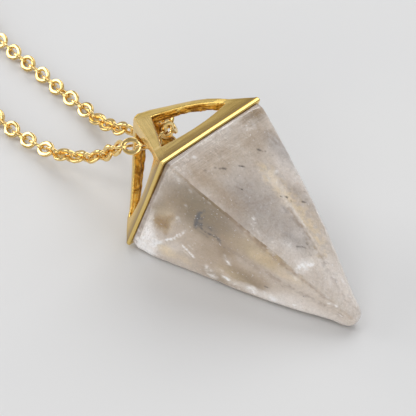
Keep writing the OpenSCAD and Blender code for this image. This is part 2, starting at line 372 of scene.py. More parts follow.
def quartz():
    m = Nodes("quartz")
    loc = local_coords(m)
    cloud = m.noise(loc, 0.16, 4.0, 0.6, 0.8)
    veil = m.noise(loc, 0.55, 6.0, 0.65, 1.2)
    mottle = m.noise(m.mapped(loc, (1.6, 1.0, 1.6)), 1.5, 6.0, 0.7, 0.4)
    grain = m.noise(loc, 7.0, 3.0, 0.6)
    base = m.ramp(cloud, [(0.32, (0.61, 0.52, 0.445)), (0.5, (0.69, 0.605, 0.525)), (0.68, (0.77, 0.69, 0.61))])
    base = m.mix(m.math("MULTIPLY", m.ramp(veil, [(0.46, 0.0), (0.66, 1.0)]), 0.42), base, (0.84, 0.79, 0.75))
    base = m.mix(m.math("MULTIPLY", m.ramp(veil, [(0.30, 1.0), (0.44, 0.0)]), 0.24), base, (0.44, 0.40, 0.385))
    base = m.mix(m.math("MULTIPLY", m.ramp(mottle, [(0.50, 0.0), (0.72, 1.0)]), 0.25), base, (0.88, 0.86, 0.86))
    base = m.mix(m.math("MULTIPLY", m.ramp(mottle, [(0.26, 1.0), (0.42, 0.0)]), 0.16), base, (0.42, 0.36, 0.31))

    def lay(base, name, colour, gain, soft):
        f = m.math("MULTIPLY", m.attr(name), m.math("MULTIPLY_ADD", soft, gain, 1.0 - gain * 0.5), clamp=True)
        return m.mix(f, base, colour)

    # the dim and edge layers also carry the painted shade on the belt under the rim
    base = lay(base, "dim", (0.13, 0.088, 0.055), 0.4, veil)
    base = lay(base, "slate", (0.27, 0.25, 0.255), 0.5, veil)
    base = lay(base, "warm", (0.42, 0.29, 0.16), 0.6, veil)
    base = lay(base, "olive", (0.20, 0.13, 0.045), 0.5, veil)
    base = lay(base, "cream", (0.86, 0.69, 0.44), 0.5, veil)
    base = lay(base, "tan", (0.31, 0.165, 0.022), 0.9, mottle)
    base = lay(base, "haze", (1.0, 0.95, 0.91), 0.5, veil)
    base = lay(base, "edge", (0.26, 0.18, 0.13), 0.6, mottle)
    base = lay(base, "dark", (0.045, 0.037, 0.033), 0.7, mottle)
    # the white layer also carries the painted highlight along the girdle
    base = lay(base, "white", (0.97, 0.95, 0.94), 0.6, mottle)
    speck = m.noise(loc, 2.6, 8.0, 0.78, 0.5)
    base = m.mix(1.0, base, m.ramp(speck, [(0.30, (0.80, 0.79, 0.78)), (0.48, (0.99, 0.99, 0.99)), (0.70, (1.10, 1.10, 1.11))]), "MULTIPLY")
    pith = m.noise(m.mapped(loc, (4.6, 4.6, 4.6), (0.1, 0.7, 0.4)), 1.0, 2.0, 0.6, 0.5)
    base = m.mix(1.0, base, m.ramp(pith, [(0.34, (0.94, 0.937, 0.933)), (0.5, (1.0, 1.0, 1.0)), (0.66, (1.05, 1.05, 1.05))]), "MULTIPLY")
    nicks = m.noise(m.mapped(loc, (4.2, 3.0, 4.2), (0.2, 0.5, 0.3)), 1.0, 2.0, 0.55, 0.6)
    nicks = m.math("MULTIPLY", m.ramp(nicks, [(0.665, 0.0), (0.73, 1.0)]), m.ramp(veil, [(0.42, 0.15), (0.6, 1.0)]))
    base = m.mix(nicks, base, (0.95, 0.93, 0.93))
    sawn = m.noise(m.mapped(loc, (0.45, 6.5, 2.0)), 1.0, 4.0, 0.7)
    base = m.mix(m.attr("sawn"), base, m.mix(1.0, base, m.ramp(sawn, [(0.34, (0.70, 0.68, 0.67)), (0.52, (1.0, 1.0, 1.0)), (0.68, (1.14, 1.14, 1.14))]), "MULTIPLY"))
    m.link(base, m.bsdf.inputs["Base Color"])
    scratch = m.noise(m.mapped(loc, (2.0, 14.0, 22.0), (0.3, 0.2, 0.5)), 1.0, 2.0, 0.5)
    rough = m.math("MULTIPLY_ADD", m.attr("sawn"), 0.14, m.math("MULTIPLY_ADD", mottle, 0.26, 0.02))
    m.link(rough, m.bsdf.inputs["Roughness"])
    milk = m.math("MULTIPLY_ADD", m.attr("white"), -0.12, 0.17)
    milk = m.math("MULTIPLY_ADD", m.attr("haze"), -0.05, milk, clamp=True)
    m.link(milk, m.bsdf.inputs["Transmission Weight"])
    b1 = m.bump(m.math("ADD", m.math("MULTIPLY", mottle, 0.7), m.math("MULTIPLY", scratch, 0.3)), 0.30, 0.00003)
    b2 = m.bump(grain, 0.10, 0.00001, b1)
    m.link(b2, m.bsdf.inputs["Normal"])
    set_in(m.bsdf, ior=1.5, spec=0.4, sss=0.3, sss_radius=(0.0024, 0.0021, 0.0018), sss_scale=1.0,
           coat=0.12, coat_rough=0.03, coat_ior=1.5)
    return m.mat


GOLD_CAP, GOLD_CHAIN, QUARTZ = gold_cap(), gold_chain(), quartz()

# ------------------------------------------------------------------ the crystal
tip = [[1.7, 0.0], [1.705, 0.12], [1.76, 0.42], [1.92, 0.74], [2.17, 1.01], [2.56, 1.22], [3.12, 1.4],
       [3.97, 1.63], [5.5, 2.1], [9, 3.16], [13.5, 4.5]]
profile = tip + [[a, side_w(a)] for a in (16, 18.5, 20.3, 22.1, 23.9)]
low_rows, _ = hermite(profile, 215)
high_a = np.concatenate([np.linspace(24.0, 26.3, 14), np.linspace(26.35, RIM_Z - 0.16, 30), [RIM_Z - 0.12, RIM_Z - 0.1]])
seat_a = np.array([RIM_Z - 0.06, RIM_Z, RIM_Z + 0.15, RIM_Z + 0.4, RIM_Z + 0.65, SEAT_TOP - 0.06])
FLAT_N, ARC_N = 78, 8
BELT_TOP = 8.09


def section(w, radii):
    """One ring of a rounded square; radii are of the corners D, A, B, C, going round from the -v side."""
    pts = []
    for c in range(4):
        ang = math.pi / 2 * c - math.pi / 2
        n = (round(math.cos(ang)), round(math.sin(ang)))
        t = (-n[1], n[0])
        r0, r1 = radii[(c - 1) % 4], radii[c]
        lo, hi = -(w - r0), w - r1
        for k in range(FLAT_N):
            u = lo + (hi - lo) * (k + 0.5) / FLAT_N
            pts.append((n[0] * w + t[0] * u, n[1] * w + t[1] * u))
        for k in range(ARC_N):
            b = (k + 0.5) / ARC_N * math.pi / 2
            corner = ((n[0] + t[0]) * (w - r1), (n[1] + t[1]) * (w - r1))
            pts.append((corner[0] + r1 * (math.cos(b) * n[0] + math.sin(b) * t[0]),
                        corner[1] + r1 * (math.cos(b) * n[1] + math.sin(b) * t[1])))
    return np.array(pts)


def radii(w, a):
    """Corner rounding of the edges D, A, B, C at one height."""
    full = np.array([0.6, 0.92, 0.36, 0.95 + 0.5 * float(smooth(24.5, 26.8, a))])
    blend = float(smooth(1.7, 4.5, a))
    round_tip = w * (0.66 if a < 2.6 else 0.5)
    return np.minimum(full * blend + round_tip * (1 - blend), w * 0.66)


def girdle_height(x, v):
    """How high above the virtual point the widest line runs, at a place round the crystal."""
    w = np.maximum(np.abs(x), np.abs(v)) + 1e-6
    top = smooth(0.0, 0.9, v / w) * (np.abs(v) >= np.abs(x) - 1e-6)
    left = smooth(0.0, 0.9, -x / w) * (np.abs(x) > np.abs(v))
    s = np.clip(x / w, -1, 1)
    t = np.clip(v / w, -1, 1)
    h_top = np.interp(s, [-1, -0.6, -0.2, 0.1, 0.4, 0.75, 1], [26.78, 26.85, 27.02, 26.95, 27.0, 26.95, 26.65])
    h_left = np.interp(t, [-1, -0.5, 0.2, 0.8, 1], [27.0, 27.05, 27.0, 26.85, 26.78])
    other = 26.72 + 0.12 * np.sin(3.1 * s + 1.7 * t)
    k = np.where(top > 0, top, np.where(left > 0, left, 0.0))
    target = np.where(top > 0, h_top, h_left)
    return other * (1 - k) + target * k


rings = []
for a, w in low_rows:
    w = max(w, 0.01)
    p = section(w, radii(w, a))
    rings.append(np.column_stack([p, np.full(len(p), a)]))
for a in high_a:
    w0 = side_w(a)
    p = section(w0, radii(w0, a))
    g = girdle_height(p[:, 0], p[:, 1])
    wg = side_w(g)
    crown = BELT_TOP + (RIM_Z - 0.1 - a) * (wg - BELT_TOP) / (RIM_Z - 0.1 - g)
    k = 0.05
    h = np.clip(0.5 + 0.5 * (crown - w0) / k, 0, 1)
    w1 = crown * (1 - h) + w0 * h - k * h * (1 - h)
    p = p * (w1 / w0)[:, None]
    rings.append(np.column_stack([p, np.full(len(p), a)]))
for a in seat_a:
    p = section(SEAT + 0.02 if a < RIM_Z else SEAT, [0.8] * 4)
    rings.append(np.column_stack([p, np.full(len(p), a)]))
p = section(SEAT - 0.06, [0.8] * 4)
rings.append(np.column_stack([p, np.full(len(p), SEAT_TOP)]))
ring_n = len(rings[0])
crystal_pts = np.concatenate(rings)
faces = []
for i in range(len(rings) - 1):
    b0, b1 = i * ring_n, (i + 1) * ring_n
    for j in range(ring_n):
        k = (j + 1) % ring_n
        faces.append((b0 + j, b0 + k, b1 + k, b1 + j))
faces.append(tuple(range(ring_n - 1, -1, -1)))
last = (len(rings) - 1) * ring_n
faces.append(tuple(last + j for j in range(ring_n)))
# the two standing sides are ground slightly convex along the point
bow_a = [1.5, 3, 4.4, 5.9, 7.4, 8.9, 10.4, 12, 13.5, 15, 16.5, 18, 20, 23, 25.5, 26.7]
bow_right = [-0.06, -0.1, -0.02, 0.06, 0.13, 0.22, 0.28, 0.34, 0.37, 0.36, 0.32, 0.27, 0.22, 0.19, 0.14, 0]
bow_left = [-0.06, -0.1, -0.06, 0.06, 0.17, 0.24, 0.30, 0.33, 0.34, 0.31, 0.21, 0.08, 0, 0.02, 0.04, 0]
half = np.maximum(np.abs(crystal_pts[:, 0]), np.abs(crystal_pts[:, 1])) + 1e-6
crystal_pts[:, 0] *= 1 + np.where(crystal_pts[:, 0] > 0, np.interp(crystal_pts[:, 2], bow_a, bow_right),
                                  np.interp(crystal_pts[:, 2], bow_a, bow_left)) / np.maximum(half, 0.8)
# waviness of the ground faces, and nicks along the four edges
body = 1 - smooth(27.0, 27.6, crystal_pts[:, 2])
wide = np.maximum(np.abs(crystal_pts[:, 0]), np.abs(crystal_pts[:, 1]))
near_edge = smooth(0.82, 1.0, np.minimum(np.abs(crystal_pts[:, 0]), np.abs(crystal_pts[:, 1])) / np.maximum(wide, 0.3))
wave = (fbm(crystal_pts, 0.3, 3, 3) - 0.5) * 0.16 + (vnoise(crystal_pts, 1.1, 9) - 0.5) * 0.03
nick = smooth(0.62, 0.85, vnoise(crystal_pts, 1.6, 21)) * near_edge * 0.07
radial = crystal_pts.copy()
radial[:, 2] = 0
radial /= np.maximum(np.linalg.norm(radial, axis=1), 1e-6)[:, None]
floor_side = smooth(0.8, 1.0, -crystal_pts[:, 1] / np.maximum(wide, 0.01))
amount = (np.minimum(wave, 0.05) * (1 - floor_side) - np.abs(wave) * 0.2 * floor_side - nick) * body
amount *= smooth(1.5, 3.0, crystal_pts[:, 2])
crystal_pts = crystal_pts + radial * amount[:, None]
crystal = make("crystal_body", row(settle(crystal_pts)), faces)
crystal.data.materials.append(QUARTZ)

# ---- what shows inside the quartz, laid on each of its four sides as (across, along) in mm
# soft patches: side, kind, across, along, half size across, half size along, turn, strength
PATCHES = [
    ("left", "warm", 0.5, 19.0, 6.0, 7.0, 0, 0.45), ("left", "haze", -1.5, 6.0, 2.5, 4.0, 0, 0.5),
    ("top", "dim", -3.9, 18.6, 3.4, 4.2, 0, 0.20), ("top", "dim", -1.0, 12.6, 1.8, 1.1, -20, 0.22),
    ("top", "cream", 1.9, 17.0, 0.8, 4.6, 2, 0.30), ("top", "dim", 3.9, 16.0, 0.5, 3.6, 12, 0.20),
    ("top", "slate", -0.6, 11.8, 1.8, 1.6, 0, 0.30), ("top", "slate", -1.8, 18.0, 3.2, 4.6, 0, 0.24), ("top", "warm", 4.4, 23.4, 4.4, 3.4, 0, 0.28), ("top", "warm", -2.5, 24.4, 5.4, 2.2, 0, 0.42),
    ("top", "dim", -1.6, 17.8, 3.2, 4.4, 0, 0.10), ("top", "dim", 3.9, 23.9, 4.4, 3.0, 0, 0.12),
    ("top", "warm", -5.0, 21.5, 1.2, 4.5, 15, 0.40), ("top", "warm", 4.6, 24.6, 2.5, 1.6, 0, 0.3),
    ("top", "haze", 0.6, 6.0, 1.6, 4.0, 0, 0.35), ("top", "haze", 4.9, 20.0, 1.4, 3.0, 0, 0.35),
    ("top", "white", -1.2, 9.3, 0.6, 0.35, -15, 1.0), ("top", "white", -2.4, 9.9, 0.6, 0.5, 10, 0.95), ("top", "haze", -1.7, 9.7, 1.2, 0.8, 0, 0.6),
    ("top", "white", -1.9, 12.3, 0.3, 0.35, 0, 0.3), ("top", "white", -3.7, 16.5, 0.3, 0.45, 0, 0.55),
    ("top", "white", 1.15, 6.3, 0.14, 0.6, 0, 0.6), ("top", "white", 0.55, 3.6, 0.14, 0.8, 0, 0.55),
    ("top", "white", 3.2, 19.7, 0.28, 0.2, 0, 0.55), ("top", "white", -4.6, 26.1, 0.3, 0.15, 0, 0.6),
    ("top", "white", 6.0, 22.2, 0.4, 0.9, 10, 0.28), ("top", "white", -3.0, 13.2, 0.4, 0.3, 0, 0.35),
    ("top", "white", 4.6, 25.4, 0.9, 0.4, 0, 0.25), ("top", "white", -6.6, 25.6, 0.5, 0.4, 0, 0.3),
    ("left", "white", -6.3, 26.3, 1.6, 0.7, 0, 0.8), ("left", "haze", -5.9, 26.3, 2.3, 0.95, 0, 1.0), ("left", "haze", -6.6, 26.2, 1.6, 1.5, 0, 1.0), ("left", "white", -7.0, 26.5, 1.0, 0.5, 0, 0.8), ("left", "haze", -4.9, 25.4, 1.3, 0.6, -25, 0.8),
    ("left", "haze", -2.6, 26.5, 2.6, 0.4, 0, 0.55), ("left", "haze", -3.6, 23.0, 1.5, 0.9, -25, 0.35),
    ("left", "cream", 0.0, 25.2, 2.2, 1.2, 0, 0.5), ("left", "tan", -0.9, 25.3, 1.35, 0.95, 0, 1.0), ("left", "tan", -1.0, 25.6, 0.7, 0.5, 0, 0.7), ("left", "cream", 3.2, 13.4, 0.9, 1.8, 8, 0.45), ("left", "warm", 0.0, 16.0, 9.0, 13.0, 0, 0.35), ("left", "tan", -2.2, 24.5, 0.6, 0.4, 0, 0.55),
    ("left", "tan", 0.5, 24.6, 0.8, 0.5, 0, 0.5), ("left", "warm", 2.4, 25.3, 2.6, 1.2, 0, 0.5),
    ("left", "cream", -4.8, 23.6, 0.8, 1.2, 0, 0.8), ("left", "cream", -4.7, 21.4, 0.6, 0.8, 0, 0.3),
    ("left", "warm", -1.7, 14.6, 1.7, 3.6, 6, 0.75), ("left", "warm", 3.4, 14.5, 1.6, 4.2, 12, 0.65),
    ("left", "tan", 3.1, 12.9, 0.8, 1.6, 12, 0.30), ("left", "dim", 3.9, 19.6, 3.0, 3.4, 0, 0.95), ("left", "dim", 2.0, 20.8, 1.2, 1.6, 0, 0.7),
    ("left", "olive", 4.6, 22.6, 3.8, 4.4, 0, 1.0), ("left", "tan", 3.0, 24.8, 2.6, 1.6, 0, 0.22), ("left", "olive", 0.9, 26.1, 2.4, 1.1, 0, 0.75),
    ("left", "olive", -2.0, 14.2, 1.6, 2.4, 0, 0.6), ("left", "olive", -4.4, 17.2, 1.0, 2.2, 0, 0.45),
    ("left", "olive", 3.2, 14.0, 1.6, 3.0, 0, 0.35), ("left", "dim", -1.2, 12.0, 0.7, 1.2, 0, 0.4),
    ("left", "dim", -0.6, 19.4, 1.6, 1.2, 0, 0.35),
    ("left", "dim", 5.6, 22.5, 2.0, 3.2, 0, 0.5), ("left", "slate", 2.0, 20.6, 1.1, 1.6, 0, 0.8), ("left", "dark", 2.2, 21.5, 0.7, 0.35, 0, 0.5),
    ("left", "dark", 2.6, 20.0, 0.8, 1.2, 0, 0.25),
    ("left", "white", -0.8, 16.7, 0.35, 0.3, 0, 0.6), ("left", "white", -0.35, 17.3, 0.25, 0.18, 20, 0.55),
    ("left", "white", -3.7, 18.8, 0.3, 0.2, 0, 0.55), ("left", "white", -3.0, 17.6, 0.22, 0.25, 0, 0.5),
    ("left", "white", 0.9, 23.7, 0.38, 0.25, 10, 0.7), ("left", "white", 3.6, 23.5, 0.3, 0.2, 0, 0.35),
    ("left", "white", -3.6, 15.5, 0.28, 0.35, 20, 0.6), ("left", "white", -2.6, 13.0, 0.3, 0.3, 0, 0.5),
    ("left", "white", -2.9, 9.5, 0.25, 0.35, 30, 0.9), ("left", "white", -1.7, 7.8, 0.5, 0.28, 0, 0.9),
    ("left", "white", -2.3, 11.7, 0.3, 0.3, 0, 0.5), ("left", "haze", -1.6, 9.6, 1.2, 2.4, 12, 0.5),
    ("left", "white", 2.4, 9.4, 0.4, 0.35, 0, 0.3), ("left", "white", 6.5, 23.6, 0.25, 0.2, 0, 0.35),
    ("left", "warm", 0.6, 5.0, 0.9, 3.0, 0, 0.3), ("left", "white", 7.0, 25.2, 0.3, 0.3, 0, 0.5),
    ("right", "warm", -2.0, 20.0, 2.4, 4.0, 10, 0.6), ("right", "dim", 2.6, 17.0, 2.0, 3.4, -8, 0.5),
    ("right", "haze", 0.0, 10.0, 1.6, 3.4, 5, 0.5), ("right", "white", -4.2, 24.2, 0.9, 0.35, 24, 0.6),
    ("right", "tan", 4.3, 24.4, 1.2, 0.9, 0, 0.5), ("right", "white", 1.4, 13.2, 0.3, 0.6, 30, 0.55),
    ("left", "haze", -4.6, 25.9, 2.2, 0.9, 20, 1.0), ("left", "tan", -0.6, 24.8, 1.0, 0.5, 0, 0.6), ("left", "tan", -0.7, 26.2, 0.8, 0.4, 0, 0.5),
    ("left", "cream", 3.6, 14.0, 1.6, 3.4, 8, 0.30), ("left", "olive", 3.4, 14.6, 1.8, 3.4, 8, 0.30), ("left", "cream", 2.2, 9.8, 0.7, 1.8, 8, 0.35),
    ("left", "white", 1.4, 5.1, 0.16, 0.3, 0, 0.9), ("left", "white", 1.4, 4.1, 0.14, 0.3, 0, 0.8), ("left", "white", -3.0, 13.0, 0.5, 0.4, 0, 0.9),
    ("left", "white", -2.4, 10.5, 0.5, 0.3, 0, 0.9), ("left", "white", -4.4, 18.0, 0.4, 0.5, 0, 0.8), ("left", "white", -0.6, 16.9, 0.4, 0.4, 0, 0.8),
    ("left", "white", -3.5, 16.0, 0.4, 0.8, 0, 0.8), ("left", "dim", 3.6, 22.8, 1.4, 0.8, 0, 0.4),
    ("top", "slate", -0.5, 13.6, 1.7, 2.4, 0, 0.24), ("top", "white", -3.8, 17.0, 0.4, 0.35, 0, 0.8), ("top", "white", -4.0, 15.5, 0.3, 0.5, 0, 0.6),
    ("top", "white", -3.6, 13.4, 0.45, 0.3, 0, 0.7), ("top", "white", -2.6, 13.1, 0.3, 0.3, 0, 0.6), ("top", "haze", -2.0, 12.0, 1.2, 1.6, 0, 0.35),
    ("bottom", "haze", 2.0, 20.0, 3.0, 4.0, 10, 0.5), ("bottom", "warm", -3.2, 22.0, 2.4, 3.0, 0, 0.6),
    ("top", "warm", 6.6, 26.6, 1.7, 0.8, -15, 0.8), ("top", "dim", 6.2, 26.3, 1.9, 1.1, 0, 0.5), ("top", "olive", 5.9, 26.4, 1.6, 0.7, 0, 0.4), ("top", "warm", 4.6, 26.4, 2.2, 0.5, 0, 0.35),
    ("top", "slate", 5.7, 21.6, 1.2, 2.6, 0, 0.75), ("top", "warm", 3.6, 12.5, 0.8, 2.4, 0, 0.3),
    ("top", "haze", 2.2, 18.4, 0.7, 2.2, 0, 0.35), ("top", "haze", 1.6, 15.6, 0.6, 1.8, 0, 0.35), ("top", "haze", 0.2, 12.6, 0.9, 0.8, 0, 0.3),
    ("left", "dim", 0.6, 17.6, 1.4, 1.4, 0, 0.95), ("left", "cream", -2.6, 15.6, 1.1, 2.2, 10, 0.3), ("left", "cream", 2.6, 12.7, 0.9, 2.4, 0, 0.4), ("left", "dim", 3.4, 18.4, 1.0, 1.6, 0, 0.3),
    ("left", "haze", -2.8, 12.3, 0.8, 3.2, 10, 0.7), ("left", "white", -5.7, 26.0, 1.7, 1.1, 0, 1.2), ("left", "haze", -5.7, 26.0, 1.7, 1.2, 0, 0.5),
    ("left", "white", -3.7, 18.3, 0.25, 0.35, 20, 0.4), ("left", "white", -4.2, 17.5, 0.18, 0.3, 0, 0.4), ("left", "white", -2.9, 17.0, 0.2, 0.2, 0, 0.4),
    ("bottom", "white", 0.6, 16.0, 0.5, 0.8, 30, 0.6), ("bottom", "dim", 0.0, 11.0, 1.6, 3.0, 0, 0.5),
]
# fine veils, healed cracks and dark threads: side, kind, places along it, half width, strength
THREADS = [
    ("left", "white", [(-6.9, 26.5), (-4.9, 25.2), (-2.7, 23.8), (0.0, 22.3)], 0.18, 1.9),
    ("left", "white", [(-2.5, 22.2), (-2.9, 21.3), (-3.4, 20.5)], 0.14, 1.2),
    ("left", "white", [(-3.2, 21.9), (-3.7, 20.9)], 0.10, 0.9), ("left", "white", [(-1.9, 21.6), (-2.2, 21.0)], 0.07, 0.45),
    ("left", "dark", [(4.6, 21.6), (3.7, 21.7), (2.4, 21.7), (1.4, 21.8)], 0.23, 1.1),
    ("left", "dark", [(4.0, 21.2), (2.9, 21.3), (2.2, 21.1)], 0.13, 0.9),
    ("left", "dark", [(1.9, 21.6), (1.6, 20.4), (1.6, 19.2), (1.0, 17.7)], 0.14, 0.95),
    ("left", "dark", [(2.6, 20.3), (2.1, 19.4), (1.6, 18.5)], 0.10, 0.6), ("left", "dark", [(1.2, 21.1), (1.0, 19.9)], 0.09, 0.45),
    ("left", "edge", [(1.3, 3.2), (3.0, 9.0), (4.4, 13.5), (6.0, 18.6)], 0.34, 0.40),
    ("top", "white", [(-1.3, 3.2), (-3.1, 9.0), (-4.5, 13.6)], 0.12, 0.45),
    ("top", "cream", [(2.1, 20.4), (2.1, 17.8), (2.4, 16.0), (2.3, 14.1), (1.9, 11.6), (0.9, 9.7)], 0.80, 0.55),
    ("top", "haze", [(1.7, 17.0), (1.7, 14.2), (1.4, 11.6), (1.0, 9.6)], 0.16, 0.6),
    ("top", "slate", [(0.7, 16.1), (1.2, 14.4), (1.0, 12.9), (0.9, 11.3), (0.7, 10.1), (0.4, 8.4)], 0.42, 0.36),
    ("top", "edge", [(0.5, 7.8), (0.1, 5.6), (-0.4, 3.2)], 0.26, 0.26),
    ("left", "dark", [(-1.0, 11.2), (-1.1, 11.8)], 0.11, 0.7), ("left", "dark", [(-1.3, 12.2), (-1.35, 12.5)], 0.08, 0.4),
    ("left", "dark", [(0.5, 7.4), (0.5, 7.7)], 0.09, 0.6), ("left", "dark", [(0.2, 9.9), (0.35, 10.5)], 0.07, 0.3),
    ("left", "edge", [(0.45, 3.2), (0.8, 7.0), (1.0, 11.0), (1.1, 15.0), (1.35, 19.0)], 0.30, 0.4),
    ("left", "white", [(0.4, 3.2), (0.55, 5.0)], 0.1, 0.5), ("left", "white", [(-4.6, 15.9), (-3.9, 14.2)], 0.08, 0.4),
    ("left", "white", [(-5.3, 18.6), (-4.8, 17.2), (-4.5, 16.0)], 0.1, 0.35),
    ("top", "dark", [(-1.1, 11.75), (-0.5, 11.4), (-0.1, 10.9)], 0.08, 0.5),
    ("top", "dark", [(-0.2, 10.1), (0.1, 10.8), (0.2, 11.5)], 0.16, 0.4),
    ("top", "dark", [(0.15, 1.9), (0.3, 3.2), (0.4, 5.2), (0.5, 7.3)], 0.22, 0.10),
    ("top", "dark", [(-0.7, 22.65), (-0.1, 22.2)], 0.11, 1.0), ("top", "dark", [(-2.9, 23.5), (-2.3, 23.1)], 0.08, 0.75),
    ("top", "dark", [(-3.5, 23.9), (-3.2, 23.7)], 0.09, 0.6), ("top", "dark", [(-2.75, 20.6), (-2.3, 20.2)], 0.10, 0.9),
    ("top", "dark", [(1.5, 17.2), (2.1, 16.7)], 0.09, 0.9), ("top", "dark", [(3.5, 15.3), (4.0, 15.0)], 0.09, 0.8),
    ("top", "dark", [(3.0, 22.9), (3.7, 22.3)], 0.09, 0.8), ("top", "dark", [(3.9, 21.6), (4.2, 21.4)], 0.10, 0.8), ("top", "dark", [(2.1, 15.9), (2.35, 16.2)], 0.07, 0.45),
    ("top", "dark", [(-4.1, 19.4), (-3.9, 19.2)], 0.07, 0.4), ("top", "dark", [(4.6, 16.3), (4.8, 16.0)], 0.07, 0.4),
    ("top", "dark", [(1.3, 23.0), (1.5, 22.9)], 0.07, 0.4), ("top", "dark", [(-4.9, 24.3), (-4.6, 24.1)], 0.07, 0.4),
    ("top", "edge", [(0.8, 8.5), (1.0, 11.0), (1.2, 13.5), (1.5, 15.8)], 0.30, 0.4),
    ("top", "white", [(-2.9, 9.3), (-2.0, 9.7), (-1.2, 9.2), (-0.9, 8.7)], 0.1, 0.5),
    ("left", "white", [(-3.7, 16.3), (-3.3, 14.9)], 0.06, 0.35), ("left", "white", [(-2.9, 13.7), (-2.5, 12.3)], 0.08, 0.7),
    ("left", "white", [(-2.3, 10.9), (-2.0, 9.7)], 0.07, 0.8), ("left", "white", [(-1.9, 8.7), (-1.4, 7.5)], 0.10, 0.9),
    ("left", "white", [(-4.9, 18.0), (-4.5, 17.0)], 0.05, 0.4), ("left", "white", [(-4.0, 19.4), (-3.6, 18.9)], 0.05, 0.35),
    ("right", "white", [(-5.8, 25.0), (-3.0, 22.6), (-0.6, 21.4)], 0.12, 0.7),
    ("right", "dark", [(1.2, 18.0), (2.0, 20.4), (2.2, 22.6)], 0.13, 0.5),
    ("right", "edge", [(0.3, 4.0), (0.9, 11.0), (1.6, 18.0)], 0.13, 0.5),
    ("right", "white", [(0.4, 7.0), (0.9, 9.4)], 0.09, 0.6),
    ("bottom", "white", [(-3.0, 24.0), (-0.4, 20.6), (0.6, 18.4)], 0.13, 0.7),
    ("bottom", "dark", [(2.0, 14.0), (1.2, 16.6)], 0.11, 0.5),
]
px_, pv_, pa_ = crystal_pts.T
side_of = {"top": (pv_ >= np.abs(px_) - 0.12, px_), "left": (-px_ >= np.abs(pv_) - 0.12, pv_),
           "right": (px_ >= np.abs(pv_) - 0.12, pv_), "bottom": (-pv_ >= np.abs(px_) - 0.12, px_)}
wob1 = (fbm(crystal_pts, 0.9, 31, 4) - 0.5) * 0.9
wob2 = (fbm(crystal_pts, 0.9, 57, 4) - 0.5) * 0.9
thin1 = (fbm(crystal_pts, 1.6, 71, 3) - 0.5) * 0.28
thin2 = (fbm(crystal_pts, 1.6, 83, 3) - 0.5) * 0.28
break_up = smooth(0.34, 0.66, fbm(crystal_pts, 2.2, 97, 4))
flecks = smooth(0.42, 0.66, fbm(crystal_pts * [1.0, 1.0, 0.7], 2.6, 41, 5))
masks = {k: np.zeros(len(crystal_pts)) for k in ("white", "haze", "slate", "warm", "olive", "tan", "cream", "dim", "dark", "edge")}


def lay(kind, value):
    masks[kind] = 1 - (1 - masks[kind]) * (1 - np.clip(value, 0, 1))


for side, kind, u, a, ru, ra, turned, power in PATCHES:
    on, across = side_of[side]
    c, s_ = math.cos(math.radians(turned)), math.sin(math.radians(turned))
    big = min(1.0, max(ru, ra))
    du, da = across + wob1 * big - u, pa_ + wob2 * big - a
    e = np.hypot((c * du + s_ * da) / ru, (-s_ * du + c * da) / ra)
    if kind == "white":
        g = (1 - smooth(0.0, 2.3, e)) * (0.15 + 1.05 * flecks)
    else:
        g = 1 - smooth(0.15, 1.5, e)
    lay(kind, g * power * on)
for side, kind, run, half, power in THREADS:
    on, across = side_of[side]
    u, a = across + thin1, pa_ + thin2
    best = np.full(len(u), 9.0)
    for (u0, a0), (u1, a1) in zip(run, run[1:]):
        lx, ly = u1 - u0, a1 - a0
        t = np.clip(((u - u0) * lx + (a - a0) * ly) / (lx * lx + ly * ly), 0, 1)
        best = np.minimum(best, np.hypot(u - u0 - t * lx, a - a0 - t * ly))
    g = 1 - smooth(0.0, 1.0, best / (half * (0.8 + 1.5 * break_up)))
    lay(kind, g * power * (0.15 + 0.95 * break_up) * (0.45 + 0.75 * flecks if kind == "white" else 1.0) * on)
lay("white", smooth(0.02, 0.07, nick * body) * 0.25)
# painted highlight: a thin white line along the girdle stands in for the ground edge catching the light; painted shade:
# the belt above it, under the rim, is darkened
girdle_painted_highlight = np.exp(-((pa_ - girdle_height(px_, pv_)) / 0.12) ** 2) * (pa_ < 27.3)
belt = smooth(-0.05, 0.1, pa_ - girdle_height(px_, pv_)) * (pa_ < 27.65)
lay("white", girdle_painted_highlight * 0.12 * smooth(0.35, 0.7, vnoise(crystal_pts, 1.3, 77)))
# painted shade on the belt under the rim, in the dim and edge layers
lay("dim", belt * 0.35)
lay("edge", belt * (0.35 + 0.35 * smooth(0.3, 0.7, vnoise(crystal_pts * [1, 1, 2], 1.4, 61))))
masks["sawn"] = smooth(21.5, 25.5, pa_) * (0.35 + 0.65 * smooth(0.35, 0.65, vnoise(crystal_pts, 0.45, 19))) * 0.8 + belt * 1.6
for kind, value in masks.items():
    paint(crystal, kind, value)

# ------------------------------------------------------------------ the cap, as a distance field
ridge_z = np.array([0.25, 0.9, 2.0, 3.2, 4.3, 5.4, 6.4, 7.3, 7.7, 8.7, 9.4])
ridge = {
    "D": np.array([0, 0, 0, 0, 0, 0, 0, 0, 0.12, 0.10, 0.04]),
    "C": np.array([0, 0, 0, -0.04, -0.08, -0.10, -0.12, -0.10, 0.16, 0.14, 0.05]),
    "B": np.array([0, 0, 0, 0, 0, 0, 0, 0, 0.10, 0.08, 0.03]),
    "A": np.array([0.62, 0.84, 0.92, 1.02, 1.12, 1.08, 0.84, 0.50, 0.44, 0.28, 0.12]),
}
BETA = math.atan((RIM_HALF - APEX_HALF) / (APEX_Z - 0.25 - CONE_Z))
CB = math.cos(BETA)
SL = math.atan(RIM_HALF / (CAP_H - RIM_BAND))


def cap_w(z):
    return APEX_HALF + (RIM_HALF - APEX_HALF) * (APEX_Z - 0.25 - z) / (APEX_Z - 0.25 - CONE_Z)


def smax(a, b, k):
    h = np.clip(0.5 - 0.5 * (b - a) / k, 0, 1)
    return b * (1 - h) + a * h + k * h * (1 - h)


def smin(a, b, k):
    return -smax(-a, -b, k)


